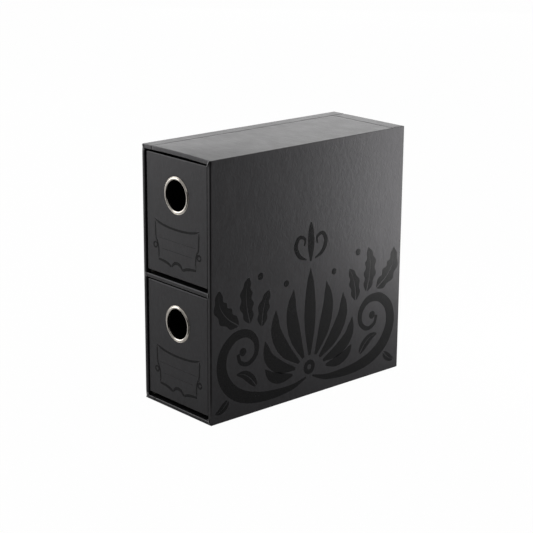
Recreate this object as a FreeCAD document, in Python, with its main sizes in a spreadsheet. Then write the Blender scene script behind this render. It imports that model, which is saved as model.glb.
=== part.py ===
import FreeCAD, Part
import math
import os
import re

import Sketcher

# A two-storey slipcase of paper-covered greyboard with two card drawers that slide out of its front.
#
# Frame: millimetres, +Z up. The origin is the middle of the face that the box stands on, the drawers
# open towards -Y and X runs across the front. Everything at or behind y = -case_depth / 2 is the case,
# and only the crowns of the finger rings reach past it.

# The sizes that can be set, each a cell of the sheet with this alias.
SIZES = {
    # case
    "case_width": 81.0,
    "case_depth": 202.5,
    "case_height": 205.0,
    "case_board": 3.0,        # greyboard of the case
    "cover_sheet": 0.2,       # covering and lining paper of the case
    "base_sheet": 0.4,        # sheet glued under the case, on which it stands
    "base_inset": 1.0,        # from the case's outline to the base sheet's edge
    "side_flap": 12.5,        # left cover's flaps on the top and the bottom
    "back_flap": 13.75,       # back cover's flaps on the top and the bottom
    "seam_gap": 0.4,          # between two neighbouring covers
    "turn_in": 15.0,          # covers folded round the front edges into the bays
    # how a drawer sits in its bay
    "front_recess": 1.0,      # drawer front behind the case's front edges
    "side_clearance": 1.0,    # each side
    "top_clearance": 1.2,
    "back_clearance": 1.0,
    "runner_clearance": 0.1,  # under the side walls, which run on the bay floor
    "front_lift": 2.4,        # front edge and bottom board above the bay floor
    # drawer
    "drawer_board": 2.0,      # greyboard of the drawers
    "drawer_sheet": 0.15,     # covering and lining paper of the drawers
    # finger ring
    "ring_outer": 30.0,
    "ring_rim": 3.0,          # width of the half-round rim round the bore
    "ring_metal": 0.4,
    "ring_clinch": 2.2,       # width of the lip rolled over the washer
    "ring_drop": 28.6,        # ring's centre below the drawer's top edge
    "hole_clearance": 0.1,    # from the ring's barrel to the edge of its hole
    "washer_lap": 0.5,        # washer's edge past the rim, all round
    "washer_metal": 0.4,
}

# What follows from them.
DERIVED = {
    # case
    "half_width": "case_width / 2",
    "front": "-case_depth / 2",
    "back": "case_depth / 2",
    "panel": "case_board + 2 * cover_sheet",
    "board_half_width": "half_width - cover_sheet",
    "board_front": "front + cover_sheet",
    "board_back": "back - cover_sheet",
    "board_bottom": "base_sheet + cover_sheet",
    "board_top": "case_height - cover_sheet",
    "between_sides": "board_half_width - case_board",
    "back_board_front": "board_back - case_board",
    # the two bays
    "bay_half_width": "half_width - panel",
    "bay_back": "back - panel",
    "bay_height": "(case_height - base_sheet - 3 * panel) / 2",
    "lower_floor": "base_sheet + panel",
    "lower_ceiling": "lower_floor + bay_height",
    "upper_floor": "lower_ceiling + panel",
    "upper_ceiling": "upper_floor + bay_height",
    # the seams between the covers, each side of the gap
    "seam_left": "side_flap - half_width - seam_gap / 2",
    "seam_right": "side_flap - half_width + seam_gap / 2",
    "seam_front": "back - back_flap - seam_gap / 2",
    "seam_back": "back - back_flap + seam_gap / 2",
    "lining_front": "front + turn_in",
    # a drawer, from its covers to its boards to its inside
    "drawer_half_width": "bay_half_width - side_clearance",
    "drawer_front": "front + front_recess",
    "drawer_back": "bay_back - back_clearance",
    "core_half_width": "drawer_half_width - drawer_sheet",
    "core_front": "drawer_front + drawer_sheet",
    "core_back": "drawer_back - drawer_sheet",
    "walls_front": "core_front + drawer_board",
    "inner_half_width": "core_half_width - drawer_board",
    "inner_back": "core_back - drawer_board",
    "lined_half_width": "inner_half_width - drawer_sheet",
    "lined_front": "walls_front + drawer_sheet",
    "lined_back": "inner_back - drawer_sheet",
    # heights in a drawer, from the floor of its bay
    "core_runner": "runner_clearance + drawer_sheet",
    "core_bottom": "front_lift + drawer_sheet",
    "core_floor": "core_bottom + drawer_board",
    "lined_floor": "core_floor + drawer_sheet",
    "drawer_top": "bay_height - top_clearance",
    "core_top": "drawer_top - drawer_sheet",
    "ring_height": "drawer_top - ring_drop",
    # finger ring, from its axis and from the drawer's front face
    "rim_radius": "ring_outer / 2",
    "bore_radius": "rim_radius - ring_rim",
    "barrel_radius": "bore_radius + ring_metal",
    "hole_radius": "barrel_radius + hole_clearance",
    "clinch_radius": "bore_radius + ring_clinch",
    "washer_back": "lined_front + washer_metal - drawer_front",
}


def on_sheet(text):
    """The text of an expression with each name replaced by its cell, or by what it is worked out from."""

    def cell(found):
        name = found.group()
        return f"Sizes.{name}" if name in SIZES else f"({on_sheet(DERIVED[name])})"

    return re.sub(r"[a-z_]+", cell, text)


def now(text):
    """The number that an expression has at the sheet's present sizes."""
    return float(sheet.evalExpression(on_sheet(text).replace("Sizes.", "")))


def place(item, corner):
    """Ties the position of an object to the sheet."""
    for axis, text in zip("xyz", corner):
        item.setExpression(f"Placement.Base.{axis}", on_sheet(text))


def block(name, across, along, up):
    """A rectangular block between three pairs of faces, given as (start, end) along X, Y and Z."""
    box = doc.addObject("Part::Box", name)
    for side, (start, end) in zip(("Length", "Width", "Height"), (across, along, up)):
        box.setExpression(side, on_sheet(f"({end}) - ({start})"))
    place(box, [start for start, end in (across, along, up)])
    return box


def round_hole(name, along, height):
    """A cylinder through a drawer's front, to be cut out of a cover."""
    start, end = along
    hole = doc.addObject("Part::Cylinder", name)
    hole.Placement.Rotation = FreeCAD.Rotation(FreeCAD.Vector(1, 0, 0), -90)
    hole.setExpression("Radius", on_sheet("hole_radius"))
    hole.setExpression("Height", on_sheet(f"({end}) - ({start})"))
    place(hole, ("0", start, height))
    return hole


def less(name, base, *tools):
    """What is left of base when the tools are taken out of it."""
    cut = doc.addObject("Part::Cut", name)
    cut.Base = base
    cut.Tool = tools[0] if len(tools) == 1 else joined(f"{name}_tools", tools)
    return cut


def joined(name, pieces):
    """Several solids as one."""
    fuse = doc.addObject("Part::MultiFuse", name)
    fuse.Shapes = list(pieces)
    return fuse


def within(name, base, region):
    """What of base lies inside a region."""
    common = doc.addObject("Part::Common", name)
    common.Base = base
    common.Tool = region
    return common


def sketched_body(name, plane, corner):
    """A PartDesign body at a corner, with an empty sketch on one of its own planes."""
    body = doc.addObject("PartDesign::Body", name)
    sketch = body.newObject("Sketcher::SketchObject", f"{name}_outline")
    support = next(item for item in body.Origin.OriginFeatures if item.Role == plane)
    sketch.AttachmentSupport = [(support, "")]
    sketch.MapMode = "FlatFace"
    place(body, corner)
    return body, sketch


def dimension(sketch, kind, where, text):
    """A driving dimension of a sketch, tied to the sheet."""
    number = sketch.addConstraint(Sketcher.Constraint(kind, *where, now(text)))
    sketch.setExpression(f"Constraints[{number}]", on_sheet(text))


def outline(sketch, points):
    """Level and upright lines through points, each line fixed to the one before it."""
    lines = []
    for start, end in zip(points, points[1:]):
        segment = Part.LineSegment(FreeCAD.Vector(*start, 0), FreeCAD.Vector(*end, 0))
        line = sketch.addGeometry(segment, False)
        direction = "Horizontal" if start[1] == end[1] else "Vertical"
        sketch.addConstraint(Sketcher.Constraint(direction, line))
        if lines:
            sketch.addConstraint(Sketcher.Constraint("Coincident", lines[-1], 2, line, 1))
        lines.append(line)
    return lines


def rectangle(sketch, half_width, below, above):
    """A rectangle round the sketch's origin, as wide to the left as to the right."""
    side, low, high = now(half_width), -now(below), now(above)
    corners = [(-side, low), (side, low), (side, high), (-side, high), (-side, low)]
    bottom, right, top, left = outline(sketch, corners)
    sketch.addConstraint(Sketcher.Constraint("Coincident", left, 2, bottom, 1))
    dimension(sketch, "DistanceX", (bottom, 1, -1, 1), half_width)
    dimension(sketch, "DistanceX", (-1, 1, bottom, 2), half_width)
    dimension(sketch, "DistanceY", (bottom, 1, -1, 1), below)
    dimension(sketch, "DistanceY", (-1, 1, top, 1), above)


def circle(sketch, radius):
    """A circle round the sketch's origin."""
    centre, normal = FreeCAD.Vector(0, 0, 0), FreeCAD.Vector(0, 0, 1)
    ring = sketch.addGeometry(Part.Circle(centre, normal, now(radius)), False)
    sketch.addConstraint(Sketcher.Constraint("Coincident", ring, 3, -1, 1))
    dimension(sketch, "Radius", (ring,), radius)


def pad(body, sketch, thickness):
    """Gives a sketch on the XZ plane its thickness, from its own plane towards the back of the box."""
    solid = body.newObject("PartDesign::Pad", f"{body.Name}_pad")
    solid.Profile = sketch
    solid.Reversed = True
    solid.setExpression("Length", on_sheet(thickness))
    return body


def case_boards():
    """The six greyboards: the sides run full height, and the others stand between them."""
    depth = ("board_front", "board_back")
    height = ("board_bottom", "board_top")
    width = ("-between_sides", "between_sides")
    inside = ("board_bottom + case_board", "board_top - case_board")
    shelf = ("lower_ceiling + cover_sheet", "upper_floor - cover_sheet")
    return [
        block("case_left_board", ("-board_half_width", "-between_sides"), depth, height),
        block("case_right_board", ("between_sides", "board_half_width"), depth, height),
        block("case_top_board", width, depth, (inside[1], "board_top")),
        block("case_bottom_board", width, depth, ("board_bottom", inside[0])),
        block("case_back_board", width, ("back_board_front", "board_back"), inside),
        block("case_divider_board", width, ("board_front", "back_board_front"), shelf),
    ]


def case_linings():
    """The papers inside the two bays, each with the block that it was cut from and the air that it holds."""
    linings, blanks, bays = [], [], []
    for level in ("lower", "upper"):
        floor, ceiling = f"{level}_floor", f"{level}_ceiling"
        blank = block(
            f"{level}_lining_blank",
            ("-between_sides", "between_sides"),
            ("lining_front", "back_board_front"),
            (f"{floor} - cover_sheet", f"{ceiling} + cover_sheet"),
        )
        bay = block(
            f"{level}_bay",
            ("-bay_half_width", "bay_half_width"),
            ("front", "bay_back"),
            (floor, ceiling),
        )
        blanks.append(blank)
        bays.append(bay)
        linings.append(less(f"case_{level}_lining", blank, bay))
    return linings, blanks + bays


def case_covers(solids):
    """The sheets over the boards: what is left of the case's outline without them, parted at the seams."""
    height = ("base_sheet", "case_height")
    full = ("-half_width", "half_width")
    to_back = ("front", "board_back")
    skin = less("case_skin", block("case_outline", full, ("front", "back"), height), *solids)

    shelf_edge = block(
        "shelf_edge",
        ("-bay_half_width", "bay_half_width"),
        ("front", "lining_front"),
        ("lower_ceiling", "upper_floor"),
    )
    left_part = block("left_part", ("-half_width", "seam_left"), to_back, height)
    wrap_part = block("wrap_part", ("seam_right", "half_width"), to_back, height)
    under_seam = block(
        "under_seam", ("seam_right", "board_half_width"), ("seam_front", "board_back"), height
    )
    flap_part = block(
        "flap_part", ("seam_right", "board_half_width"), ("seam_back", "board_back"), height
    )
    back_part = block("back_part", full, ("board_back", "back"), height)
    return [
        less("case_left_cover", within("left_skin", skin, left_part), shelf_edge),
        less("case_wrap_cover", within("wrap_skin", skin, wrap_part), shelf_edge, under_seam),
        within("case_back_cover", skin, joined("back_parts", [back_part, flap_part])),
        within("case_divider_edge_cover", skin, shelf_edge),
    ]


def base_sheet():
    """The sheet that the box stands on, set back from the case's outline."""
    return block(
        "case_base_sheet",
        ("base_inset - half_width", "half_width - base_inset"),
        ("front + base_inset", "back - base_inset"),
        ("0", "base_sheet"),
    )


def drawer_boards(name, floor):
    """The sides, the back and the raised bottom. The sides and the back reach down to the bay's floor."""
    upright = (f"{floor} + core_runner", f"{floor} + core_top")
    width = ("-inner_half_width", "inner_half_width")
    length = ("walls_front", "core_back")
    inside = ("walls_front", "inner_back")
    raised = (f"{floor} + core_bottom", f"{floor} + core_floor")
    under = (f"{floor} + front_lift", f"{floor} + core_bottom")
    return [
        block(f"{name}_left_board", ("-core_half_width", "-inner_half_width"), length, upright),
        block(f"{name}_right_board", ("inner_half_width", "core_half_width"), length, upright),
        block(f"{name}_back_board", width, ("inner_back", "core_back"), upright),
        block(f"{name}_bottom_board", width, inside, raised),
        block(f"{name}_bottom_sheet", width, inside, under),
    ]


def drawer_front(name, floor):
    """The front board with its finger hole, and its sheet, which is folded round the four edges."""
    ring_height = f"{floor} + ring_height"
    board, sketch = sketched_body(f"{name}_front_board", "XZ_Plane", ("0", "core_front", ring_height))
    rectangle(sketch, "core_half_width", "ring_height - core_bottom", "core_top - ring_height")
    circle(sketch, "hole_radius")
    pad(board, sketch, "drawer_board")

    sheet_blank = block(
        f"{name}_front_blank",
        ("-drawer_half_width", "drawer_half_width"),
        ("drawer_front", "walls_front"),
        (f"{floor} + front_lift", f"{floor} + drawer_top"),
    )
    board_place = block(
        f"{name}_front_place",
        ("-core_half_width", "core_half_width"),
        ("core_front", "walls_front"),
        (f"{floor} + core_bottom", f"{floor} + core_top"),
    )
    hole = round_hole(f"{name}_front_hole", ("drawer_front", "walls_front"), ring_height)
    return [board, less(f"{name}_front_cover", sheet_blank, board_place, hole)]


def drawer_papers(name, floor):
    """The wrap round the walls, closed over their upper and lower edges, and the lining inside them."""
    height = (f"{floor} + runner_clearance", f"{floor} + drawer_top")
    walls_place = block(
        f"{name}_walls_place",
        ("-core_half_width", "core_half_width"),
        ("walls_front", "core_back"),
        (f"{floor} + core_runner", f"{floor} + core_top"),
    )
    inside = block(
        f"{name}_inside",
        ("-lined_half_width", "lined_half_width"),
        ("walls_front", "lined_back"),
        height,
    )
    wrap_blank = block(
        f"{name}_wrap_blank",
        ("-drawer_half_width", "drawer_half_width"),
        ("walls_front", "drawer_back"),
        height,
    )
    lining_blank = block(
        f"{name}_lining_blank",
        ("-inner_half_width", "inner_half_width"),
        ("walls_front", "inner_back"),
        (f"{floor} + core_floor", f"{floor} + core_top"),
    )
    card_room = block(
        f"{name}_card_room",
        ("-lined_half_width", "lined_half_width"),
        ("lined_front", "lined_back"),
        (f"{floor} + lined_floor", f"{floor} + core_top"),
    )
    hole = round_hole(f"{name}_lining_hole", ("walls_front", "lined_front"), f"{floor} + ring_height")
    return [
        less(f"{name}_wrap", wrap_blank, walls_place, inside),
        less(f"{name}_lining", lining_blank, card_room, hole),
    ]


def finger_ring(name, floor):
    """A pressed ring: a half-round crown in front, a barrel through the hole, a lip over the washer."""
    ring, sketch = sketched_body(name, "XY_Plane", ("0", "drawer_front", f"{floor} + ring_height"))
    bore, outer, barrel, clinch = (
        now(text) for text in ("bore_radius", "rim_radius", "barrel_radius", "clinch_radius")
    )
    washer, lip = now("washer_back"), now("washer_back + ring_metal")
    middle = FreeCAD.Vector((bore + outer) / 2, 0, 0)
    rim = Part.Circle(middle, FreeCAD.Vector(0, 0, 1), (outer - bore) / 2)
    crown = sketch.addGeometry(Part.ArcOfCircle(rim, math.pi, 2 * math.pi), False)
    points = [
        (outer, 0),
        (barrel, 0),
        (barrel, washer),
        (clinch, washer),
        (clinch, lip),
        (bore, lip),
        (bore, 0),
    ]
    lines = outline(sketch, points)
    under_crown, along_barrel, on_washer, lip_edge = lines[:4]
    sketch.addConstraint(Sketcher.Constraint("Coincident", crown, 2, lines[0], 1))
    sketch.addConstraint(Sketcher.Constraint("Coincident", lines[-1], 2, crown, 1))
    for point in (1, 2, 3):
        sketch.addConstraint(Sketcher.Constraint("PointOnObject", crown, point, -1))
    dimension(sketch, "DistanceX", (-1, 1, crown, 1), "bore_radius")
    dimension(sketch, "DistanceX", (-1, 1, crown, 2), "rim_radius")
    dimension(sketch, "DistanceX", (-1, 1, under_crown, 2), "barrel_radius")
    dimension(sketch, "DistanceX", (-1, 1, on_washer, 2), "clinch_radius")
    dimension(sketch, "DistanceY", (-1, 1, along_barrel, 2), "washer_back")
    dimension(sketch, "DistanceY", (-1, 1, lip_edge, 2), "washer_back + ring_metal")
    turned = ring.newObject("PartDesign::Revolution", f"{name}_turned")
    turned.Profile = sketch
    turned.ReferenceAxis = (sketch, ["V_Axis"])
    turned.Angle = 360
    return ring


def ring_washer(name, floor):
    """The flat ring on the inside of the front."""
    washer, sketch = sketched_body(name, "XZ_Plane", ("0", "lined_front", f"{floor} + ring_height"))
    circle(sketch, "rim_radius + washer_lap")
    circle(sketch, "hole_radius")
    return pad(washer, sketch, "washer_metal")


def drawer(name, floor):
    """One whole drawer, its floor being that of its bay."""
    return [
        *drawer_front(name, floor),
        *drawer_boards(name, floor),
        *drawer_papers(name, floor),
        finger_ring(f"{name}_finger_ring", floor),
        ring_washer(f"{name}_ring_washer", floor),
    ]


def check(pieces):
    """Stops if any object failed or any piece isn't one valid solid."""
    for item in doc.Objects:
        if {"Invalid", "Error"} & set(item.State):
            raise RuntimeError(f"{item.Label} failed: {item.State}")
    for piece in pieces:
        shape = piece.Shape
        if shape.isNull() or not shape.isValid() or len(shape.Solids) != 1:
            raise RuntimeError(f"{piece.Label} isn't one valid solid")


doc = FreeCAD.newDocument("card_box")
sheet = doc.addObject("Spreadsheet::Sheet", "Sizes")
for row, (alias, value) in enumerate(SIZES.items(), start=1):
    sheet.set(f"A{row}", alias.replace("_", " "))
    sheet.set(f"B{row}", str(value))
    sheet.setAlias(f"B{row}", alias)
doc.recompute()

boards = case_boards()
linings, hollows = case_linings()
pieces = [
    *boards,
    *linings,
    *case_covers(boards + hollows),
    base_sheet(),
    *drawer("upper_drawer", "upper_floor"),
    *drawer("lower_drawer", "lower_floor"),
]
doc.recompute()
check(pieces)

os.makedirs("parts", exist_ok=True)
for piece in pieces:
    piece.Shape.exportStep(f"parts/{piece.Label}.step")
print(f"{len(pieces)} pieces written")
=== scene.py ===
"""Looks of a two-storey card box: covered greyboard case, two covered drawers, nickel finger rings."""

import math

import bpy
from mathutils import Matrix, Vector


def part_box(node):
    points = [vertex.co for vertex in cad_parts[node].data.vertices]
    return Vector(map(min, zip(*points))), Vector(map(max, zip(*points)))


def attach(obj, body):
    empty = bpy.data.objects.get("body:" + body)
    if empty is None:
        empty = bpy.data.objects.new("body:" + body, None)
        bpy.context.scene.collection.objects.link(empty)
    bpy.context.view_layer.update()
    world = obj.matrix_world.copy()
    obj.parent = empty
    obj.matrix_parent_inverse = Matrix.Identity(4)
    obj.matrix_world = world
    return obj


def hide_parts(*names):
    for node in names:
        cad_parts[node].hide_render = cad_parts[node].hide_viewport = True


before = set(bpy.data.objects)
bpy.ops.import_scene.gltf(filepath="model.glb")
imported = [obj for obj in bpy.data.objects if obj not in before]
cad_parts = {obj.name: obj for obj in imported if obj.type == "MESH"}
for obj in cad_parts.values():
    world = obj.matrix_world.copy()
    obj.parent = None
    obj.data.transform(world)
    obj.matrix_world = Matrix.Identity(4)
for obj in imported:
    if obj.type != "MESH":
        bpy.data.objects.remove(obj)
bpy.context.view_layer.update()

MM = 0.001
DRAWERS = ("upper_drawer", "lower_drawer")
# How thick a print is, and the room kept for it inside the case's width.
INK = 0.03 * MM
PRINT_ROOM = 0.05 * MM

# The case as the frame gives it: outer faces, the bays inside them, and where its sheets are parted.
wrap_low, wrap_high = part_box("case_wrap_cover")
back_low, back_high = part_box("case_back_cover")
left_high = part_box("case_left_cover")[1]
shelf_low, shelf_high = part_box("case_divider_edge_cover")
HALF_WIDTH = wrap_high.x - PRINT_ROOM
FRONT, BACK = wrap_low.y, back_high.y
FOOT, CROWN = wrap_low.z, wrap_high.z
HALF_HEIGHT, MIDDLE = (CROWN - FOOT) / 2, (CROWN + FOOT) / 2
PANEL = HALF_WIDTH - shelf_high.x
TURN_IN = shelf_high.y
SIDE_SEAM = (left_high.x + wrap_low.x) / 2
BACK_SEAM = back_low.y - (wrap_low.x - left_high.x) / 2

# Paper: its thickness; the radii of its folds round the frame, round a drawer's front and along the long
# edges, and the tightest that it takes; and how far past a fold its rubbing and painted highlight run out.
SHEET = 0.15 * MM
FOLD = 0.8 * MM
FRONT_FOLD = 0.7 * MM
EDGE_FOLD = 0.45 * MM
CREASE = 0.2 * MM
WEAR_AND_HIGHLIGHT_REACH = 0.7 * MM
# How much rounder the frame's outer fold is down its sides and at the corners, and how much tighter above.
SIDE_GATHER, CORNER_GATHER, FLAP_GATHER = 0.3 * MM, 0.7 * MM, -0.3 * MM
# Seams: half the gap between two sheets, how deep they are pressed beside it, and over what width.
SEAM_GAP = 0.05 * MM
SEAM_SINK = 0.16 * MM
SEAM_REACH = 1.5 * MM

# Boards: how round their cut edges are, and how far their front edges stay behind the paper.
EASED = 1.0 * MM
PROUD = 0.4 * MM
# The top panel bows up in the middle of its front edge, and the paper over that edge leans back.
BOW = 0.7 * MM
BOW_REACH = 60 * MM
LEAN = 0.33 * MM
# The bay's floor is worn down at its front edge.
SAG = 0.35 * MM
SAG_REACH = 6 * MM
# The foot of a drawer's front is cut clear of the floor under it.
TRIMMED = 0.5 * MM


# Materials


def linear(code):
    """An sRGB hex colour as the linear values that a shader takes."""
    channels = [int(code[i : i + 2], 16) / 255 for i in (1, 3, 5)]
    return [c / 12.92 if c <= 0.04045 else ((c + 0.055) / 1.055) ** 2.4 for c in channels] + [1.0]


def add(tree, kind, inputs=None, **settings):
    """A new node with its settings; inputs holds a value, or the output that feeds it, for each input."""
    node = tree.nodes.new(kind)
    for name, value in settings.items():
        setattr(node, name, value)
    for name, value in (inputs or {}).items():
        if isinstance(value, bpy.types.NodeSocket):
            tree.links.new(value, node.inputs[name])
        else:
            node.inputs[name].default_value = value
    return node


def empty_finish(name):
    """A material without nodes, and its tree."""
    finish = bpy.data.materials.new(name)
    finish.use_nodes = True
    finish.node_tree.nodes.clear()
    return finish, finish.node_tree


def new_finish(name, **values):
    """A material with one shader, whose uniform values are set on its own sockets."""
    finish, tree = empty_finish(name)
    shader = add(tree, "ShaderNodeBsdfPrincipled", {k.replace("_", " "): v for k, v in values.items()})
    add(tree, "ShaderNodeOutputMaterial", {"Surface": shader.outputs[0]})
    return finish, tree, shader


def in_millimetres(tree):
    """A CAD solid's own coordinates, in millimetres."""
    place = add(tree, "ShaderNodeTexCoord")
    scaled = add(
        tree,
        "ShaderNodeVectorMath",
        {0: place.outputs["Object"], 1: (1 / MM, 1 / MM, 1 / MM)},
        operation="MULTIPLY",
    )
    return scaled.outputs[0]


def pattern(tree, place, pitch, detail=2.0, distortion=0.0):
    """Noise whose marks are about pitch millimetres in size, in x, y and z of place."""
    stretched = add(
        tree, "ShaderNodeMapping", {"Vector": place, "Scale": tuple(1 / size for size in pitch)}
    )
    noise = add(
        tree,
        "ShaderNodeTexNoise",
        {"Vector": stretched.outputs[0], "Scale": 1.0, "Detail": detail, "Distortion": distortion},
    )
    return noise.outputs["Fac"]


def spread(tree, value, low, high, start=0.3, end=0.7):
    """A value taken from start to end, a range that noise mostly fills, to low to high."""
    ranged = add(
        tree,
        "ShaderNodeMapRange",
        {"Value": value, "From Min": start, "From Max": end, "To Min": low, "To Max": high},
    )
    return ranged.outputs[0]


def mixed(tree, factor, first, second):
    """A colour between two others, each a hex code or an output."""
    colours = [linear(c) if isinstance(c, str) else c for c in (first, second)]
    mix = add(tree, "ShaderNodeMix", {0: factor, 6: colours[0], 7: colours[1]}, data_type="RGBA")
    return mix.outputs[2]


def raised(tree, height, depth, normal=None):
    """A bump of that depth in millimetres."""
    inputs = {"Height": height, "Distance": depth * MM, "Strength": 1.0}
    if normal is not None:
        inputs["Normal"] = normal
    return add(tree, "ShaderNodeBump", inputs).outputs[0]


def leatherette_paper(name, wear_and_highlight_to="#1f1e1d"):
    """Varnished black paper, embossed with short wavy fibres along the sheet: a sheen in fine streaks;
    lighter at its folds, rubbed and with a painted highlight.
    """
    finish, tree, shader = new_finish(
        name, IOR=1.45, Specular_IOR_Level=0.5, Specular_Tint=(1.0, 0.97, 1.01, 1.0)
    )
    grain = add(tree, "ShaderNodeAttribute", attribute_name="grain").outputs["Vector"]
    folded = add(tree, "ShaderNodeAttribute", attribute_name="fold").outputs["Fac"]
    # Embossed fibres are 0.4 mm wide, and are drawn 1.6 mm wide and 2.5 mm long, two to a wave, to show.
    fibres = pattern(tree, grain, (5.0, 3.2, 5.0), detail=3.0, distortion=1.0)
    mottle = pattern(tree, grain, (16.0, 10.0, 16.0))
    # The tooth of the paper, 0.25 mm.
    tooth = pattern(tree, grain, (0.5, 0.25, 0.5))
    # Rubbing and a painted highlight: where the fold attribute is high, broken up by the mottle, the black
    # is lightened toward the given fold colour.
    worn = add(
        tree, "ShaderNodeMath", {0: folded, 1: spread(tree, mottle, 0.15, 0.75)}, operation="MULTIPLY"
    )
    black = mixed(tree, spread(tree, fibres, 0.0, 1.0), "#111112", "#1c1c1e")
    rubbed = mixed(tree, worn.outputs[0], black, wear_and_highlight_to)
    streaks = raised(tree, fibres, 0.098)
    uneven = raised(tree, mottle, 0.005, streaks)
    surface = raised(tree, tooth, 0.003, uneven)
    tree.links.new(rubbed, shader.inputs["Base Color"])
    tree.links.new(spread(tree, mottle, 0.31, 0.35), shader.inputs["Roughness"])
    tree.links.new(surface, shader.inputs["Normal"])
    return finish


def foil_print(name):
    """Black foil pressed into the paper: smooth, and darker than the sheet round it."""
    finish, tree, shader = new_finish(name, IOR=1.45, Specular_IOR_Level=0.16)
    grain = add(tree, "ShaderNodeAttribute", attribute_name="grain").outputs["Vector"]
    fibres = pattern(tree, grain, (9.0, 0.9, 9.0), detail=3.0, distortion=0.5)
    clouds = pattern(tree, grain, (6.0, 4.0, 6.0))
    tree.links.new(mixed(tree, clouds, "#0e0e0f", "#131314"), shader.inputs["Base Color"])
    tree.links.new(spread(tree, clouds, 0.22, 0.27), shader.inputs["Roughness"])
    tree.links.new(raised(tree, fibres, 0.006), shader.inputs["Normal"])
    return finish


def uncoated_paper(name, dark, light, roughness):
    """Paper dyed through: matt, with a fine tooth of short fibres."""
    finish, tree, shader = new_finish(name, IOR=1.45, Specular_IOR_Level=0.3)
    place = in_millimetres(tree)
    # Paper fibres are 0.03 mm thick, and are drawn in tufts of 0.4 by 1.2 mm to show.
    fibres = pattern(tree, place, (0.4, 1.2, 0.4), detail=3.0, distortion=1.0)
    clouds = pattern(tree, place, (11.0, 11.0, 11.0))
    shade = add(tree, "ShaderNodeMath", {0: fibres, 1: clouds}, operation="MULTIPLY")
    tree.links.new(
        mixed(tree, spread(tree, shade.outputs[0], 0.0, 1.0, 0.15, 0.4), dark, light),
        shader.inputs["Base Color"],
    )
    tree.links.new(spread(tree, clouds, roughness - 0.05, roughness + 0.05), shader.inputs["Roughness"])
    tree.links.new(raised(tree, fibres, 0.02), shader.inputs["Normal"])
    return finish


def greyboard():
    """Recycled board pressed in layers: dull grey, with darker flecks, and lines of its layers at a cut."""
    finish, tree, shader = new_finish("greyboard", IOR=1.45, Specular_IOR_Level=0.3, Roughness=0.9)
    place = in_millimetres(tree)
    fibres = pattern(tree, place, (1.6, 0.5, 0.5), detail=4.0, distortion=0.8)
    flecks = pattern(tree, place, (0.7, 0.7, 0.7), detail=1.0)
    grey = mixed(tree, spread(tree, fibres, 0.0, 1.0), "#7f7b74", "#9b968d")
    tree.links.new(
        mixed(tree, spread(tree, flecks, 0.0, 0.6, 0.66, 0.74), grey, "#4d4a46"),
        shader.inputs["Base Color"],
    )
    tree.links.new(raised(tree, fibres, 0.05), shader.inputs["Normal"])
    return finish


def polished_nickel():
    """Pressed steel with bright nickel plate: mirror-like, a little warm, with fine lines of polishing."""
    finish, tree, shader = new_finish("polished_nickel", Metallic=1.0)
    place = in_millimetres(tree)
    # Polishing lines are finer than 0.05 mm, and are drawn 0.2 mm apart to show.
    lines = pattern(tree, place, (2.5, 0.2, 2.5), detail=3.0)
    dulled = pattern(tree, place, (3.0, 3.0, 3.0))
    tree.links.new(mixed(tree, dulled, "#c2bcb4", "#d5cfc7"), shader.inputs["Base Color"])
    tree.links.new(spread(tree, dulled, 0.16, 0.24), shader.inputs["Roughness"])
    tree.links.new(raised(tree, lines, 0.002), shader.inputs["Normal"])
    return finish


COVERING = leatherette_paper("black_leatherette_paper")
# Light grey at the folds: a painted highlight on the ridges at the frame's corners.
HIGHLIGHTED_CREASE_PAPER = leatherette_paper("highlighted_crease_leatherette_paper", "#a3a2a3")
FOIL = foil_print("black_foil_print")
WRAP_PAPER = uncoated_paper("black_wrap_paper", "#171718", "#222224", 0.6)
LINING_PAPER = uncoated_paper("black_lining_paper", "#1b1b1d", "#29292b", 0.78)
BASE_PAPER = uncoated_paper("black_base_paper", "#151516", "#1f1f20", 0.7)
BOARD = greyboard()
NICKEL = polished_nickel()


# Building pieces


def grid(rows, columns, keep=None, closed=False):
    """The four-sided faces of a net of points, row after row; keep(row, column) leaves cells out."""
    wide = columns if closed else columns - 1
    return [
        (r * columns + c, r * columns + (c + 1) % columns, (r + 1) * columns + (c + 1) % columns,
         (r + 1) * columns + c)
        for r in range(rows - 1)
        for c in range(wide)
        if keep is None or keep(r, c)
    ]


def closing(rows, columns):
    """The faces that join the last row of a closed net to its first."""
    last = (rows - 1) * columns
    return [(last + i, last + (i + 1) % columns, (i + 1) % columns, i) for i in range(columns)]


def turned_from(points, faces, middle):
    """Faces all turned over together, if they look towards middle."""
    outward = 0.0
    for face in faces:
        a, b, c = (Vector(points[i]) for i in (face[0], face[1], face[2]))
        outward += (b - a).cross(c - a).dot(a - middle)
    return faces if outward > 0 else [tuple(reversed(face)) for face in faces]


def faces_inward(points, faces):
    """Whether the faces of a closed body look inward."""
    volume = 0.0
    for face in faces:
        a, b, c, d = (Vector(points[i]) for i in face)
        volume += a.dot(b.cross(c)) + a.dot(c.cross(d))
    return volume < 0


def facing(points, faces, direction):
    """Faces turned one by one to look in a direction."""
    turned = []
    for face in faces:
        a, b, c = (Vector(points[face[i]]) for i in (0, 1, 2))
        normal = (b - a).cross(c - a)
        if len(face) > 3:
            normal += (c - a).cross(Vector(points[face[3]]) - a)
        turned.append(face if normal.dot(direction) > 0 else tuple(reversed(face)))
    return turned


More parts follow.
